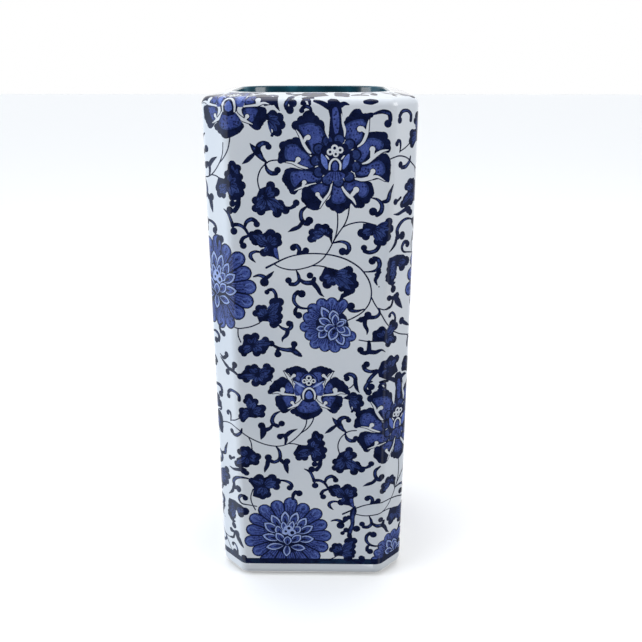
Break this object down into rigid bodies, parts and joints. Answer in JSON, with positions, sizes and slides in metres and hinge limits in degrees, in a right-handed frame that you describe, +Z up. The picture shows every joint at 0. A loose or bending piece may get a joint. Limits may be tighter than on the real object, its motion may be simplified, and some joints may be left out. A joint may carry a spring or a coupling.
{
  "type": "square ceramic vase",
  "caption": "Tall square glazed ceramic vase with cut corners, a blue-and-white scrolling flower print, a sloping shoulder and a dark lined mouth.",
  "frame": {"origin": "centre of the foot's underside, on the surface that the vase stands on", "axes": "+Z up through the mouth, -Y through the front face, +X through the right face"},
  "size_m": [0.1164, 0.1164, 0.3],
  "materials": {
    "glazed_porcelain": "clear gloss glaze over cool white porcelain",
    "foot_porcelain": "clear gloss glaze, wiped off where it stands",
    "cobalt_print": "cobalt blue print under clear gloss glaze",
    "band_ink": "hand-painted navy line under clear gloss glaze",
    "teal_glaze": "dark teal gloss glaze"
  },
  "bodies": {
    "root": {"wall_front": "glazed_porcelain", "wall_right": "glazed_porcelain", "wall_back": "glazed_porcelain", "wall_left": "glazed_porcelain", "corner_front_right": "glazed_porcelain", "corner_back_right": "glazed_porcelain", "corner_back_left": "glazed_porcelain", "corner_front_left": "glazed_porcelain", "foot_front": "foot_porcelain", "foot_right": "foot_porcelain", "foot_back": "foot_porcelain", "foot_left": "foot_porcelain", "foot_corner_front_right": "foot_porcelain", "foot_corner_back_right": "foot_porcelain", "foot_corner_back_left": "foot_porcelain", "foot_corner_front_left": "foot_porcelain", "floor_slab": "foot_porcelain", "shoulder_slab": "glazed_porcelain", "inner_glaze": "teal_glaze", "painted_band": "band_ink", "print_front": "cobalt_print", "print_right": "cobalt_print", "print_back": "cobalt_print", "print_left": "cobalt_print", "print_shoulder": "cobalt_print"}
  },
  "joints": []
}
